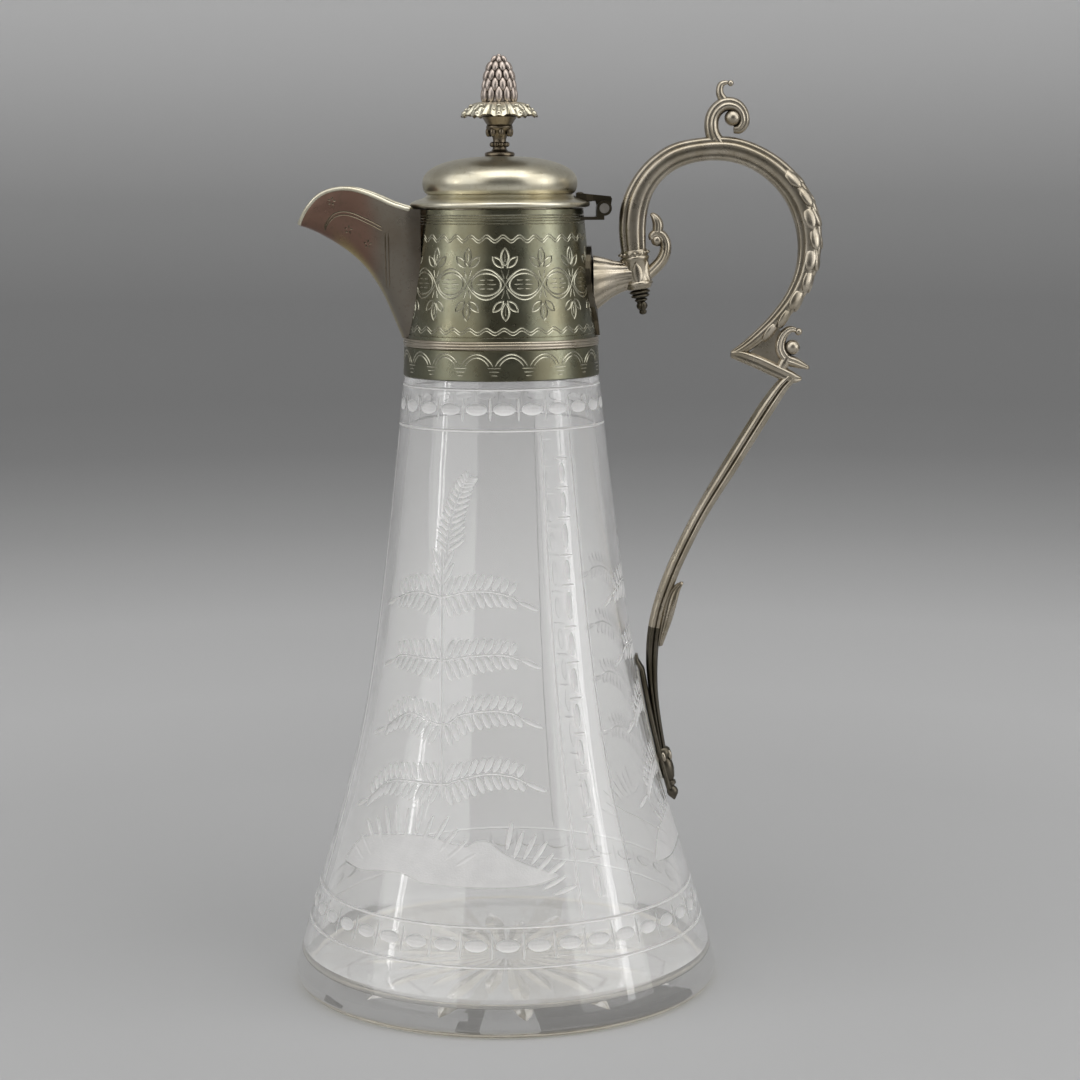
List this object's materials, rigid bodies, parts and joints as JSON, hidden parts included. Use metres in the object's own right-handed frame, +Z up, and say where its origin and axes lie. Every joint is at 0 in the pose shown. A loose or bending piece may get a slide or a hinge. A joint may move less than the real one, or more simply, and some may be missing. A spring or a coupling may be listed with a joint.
{
  "type": "claret jug",
  "caption": "Tall conical cut-glass claret jug with a plated collar, beak spout, hinged domed lid and scroll handle.",
  "frame": {"origin": "middle of the underside of the glass base, on the jug's axis", "axes": "+Z up along the jug's axis; -X towards the spout, +X towards the handle and hinge; +Y to the far side"},
  "size_m": [0.1667, 0.1338, 0.29],
  "materials": {
    "cut_glass": "clear colourless glass, wheel-cut fern and border pattern left matt",
    "plate": "worn silver plate with dark hollows and a faint yellow tarnish",
    "engraved_plate": "silver plate, bright-cut engraving, greenish gold tarnish",
    "pin_steel": "dull steel",
    "fixings": "unplated brass",
    "cement": "set plaster of Paris"
  },
  "bodies": {
    "jug": {"glass_body": "cut_glass", "plaster_bed": "cement", "collar_sleeve": "engraved_plate", "collar_foot_band": "engraved_plate", "collar_moulding_ring": "plate", "collar_rim_seat": "plate", "spout": "engraved_plate", "collar_hinge_leaf": "plate", "hinge_pin": "pin_steel", "handle_back_plate": "plate", "handle_bracket": "plate", "handle_ferrule": "plate", "handle_pendant": "plate", "handle_inner_curl": "plate", "handle_upper_loop": "plate", "handle_crest_scroll": "plate", "handle_loop_leaf": "plate", "handle_knee_bar": "plate", "handle_knee_curl": "plate", "handle_lower_stem": "plate", "handle_lower_leaf": "plate", "handle_foot_strap": "plate", "handle_foot_end": "plate", "handle_cement_pad": "cement"},
    "lid": {"lid_hinge_strap": "plate", "lid_rivets": "plate", "lid_dome": "plate", "lid_crown": "plate", "lid_flange": "plate", "lid_bezel": "plate", "finial_stem": "plate", "finial_rosette": "plate", "finial_bud": "plate", "finial_stud": "fixings", "finial_washer": "fixings", "finial_nut": "fixings"}
  },
  "joints": [
    {"name": "lid_hinge", "type": "hinge", "parent": "jug", "child": "lid", "pos_m": [0.0319, 0, 0.243], "axis": [0, 1, 0], "range_deg": [0, 70]}
  ]
}
